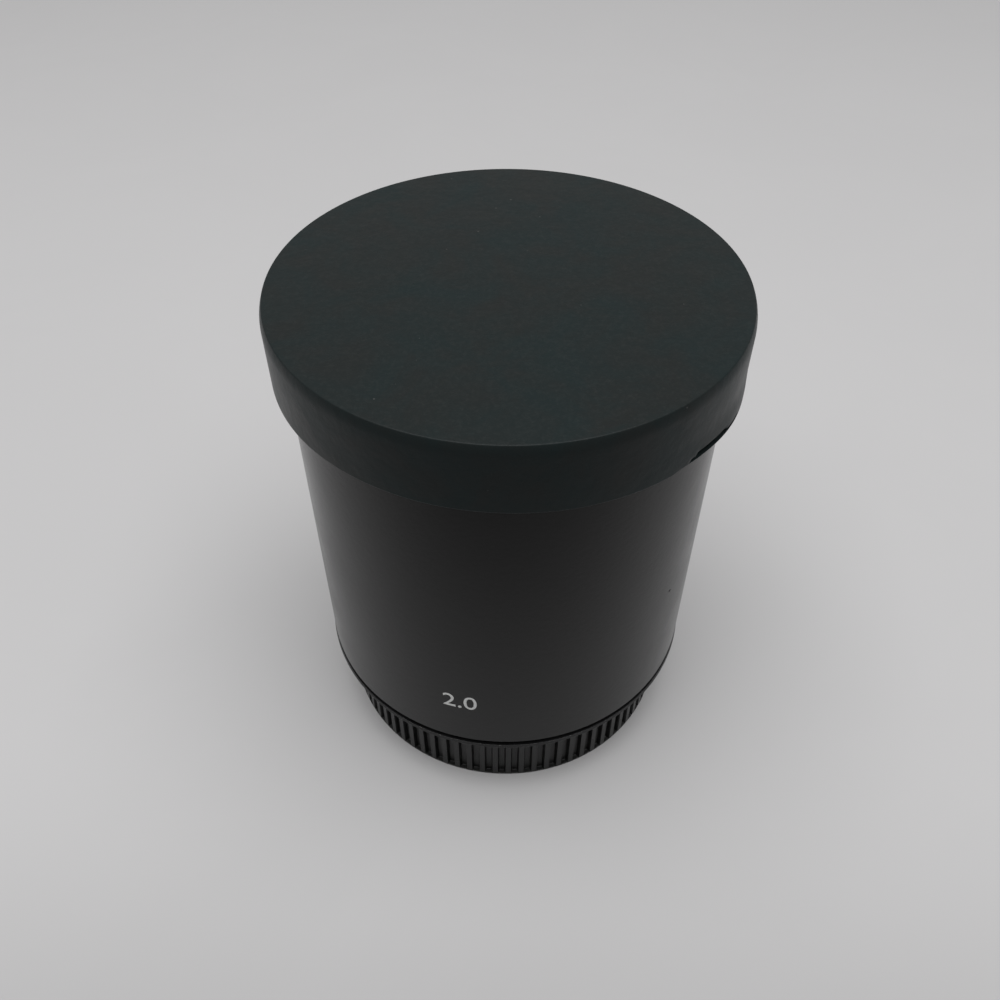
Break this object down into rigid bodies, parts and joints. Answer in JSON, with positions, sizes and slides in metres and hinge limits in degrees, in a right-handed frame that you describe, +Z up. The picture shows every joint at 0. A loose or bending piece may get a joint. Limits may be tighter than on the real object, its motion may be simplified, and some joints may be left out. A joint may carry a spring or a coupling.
{
  "type": "camera teleconverter",
  "caption": "Cylindrical T-thread camera teleconverter with a glass lens cell inside, a soft push-on front cap and a ribbed screw-on rear cap that it stands on.",
  "frame": {"origin": "middle of the rear cap's base, on the optical axis", "axes": "+Z up along the optical axis, from the camera end to the lens end; -Y is the side with the print"},
  "size_m": [0.0558, 0.0558, 0.0677],
  "materials": {
    "soft_cap_black": "soft matte vinyl, slightly mottled",
    "ribbed_cap_black": "semi-matte moulded plastic",
    "barrel_paint": "satin black paint on aluminium",
    "black_anodised": "satin black anodised",
    "light_trap_black": "dead matte black",
    "screw_steel": "black oxide",
    "clip_steel": "spring wire",
    "shim_brass": "plain sheet",
    "coated_glass": "polished, anti-reflection coated"
  },
  "bodies": {
    "rear_cap": {"rear_cap": "ribbed_cap_black"},
    "barrel": {"outer_barrel": "barrel_paint", "rear_mount_ring": "black_anodised", "front_mount_ring": "black_anodised", "front_ring_screws": "screw_steel", "front_baffle": "light_trap_black", "lens_cell": "black_anodised", "cell_shim": "shim_brass", "cell_lock_ring": "black_anodised", "front_retaining_ring": "black_anodised", "front_element": "coated_glass", "front_spacer": "black_anodised", "doublet_front_element": "coated_glass", "doublet_rear_element": "coated_glass", "rear_spacer": "black_anodised", "rear_element": "coated_glass", "rear_retaining_ring": "black_anodised", "rear_baffle": "light_trap_black", "baffle_clip": "clip_steel"},
    "front_cap": {"front_cap": "soft_cap_black"}
  },
  "joints": [
    {"name": "rear_cap_unscrew", "type": "slide", "parent": "rear_cap", "child": "barrel", "axis": [0, 0, 1], "range_m": [0, 0.04]},
    {"name": "front_cap_pull", "type": "slide", "parent": "barrel", "child": "front_cap", "axis": [0, 0, 1], "range_m": [0, 0.04]}
  ]
}
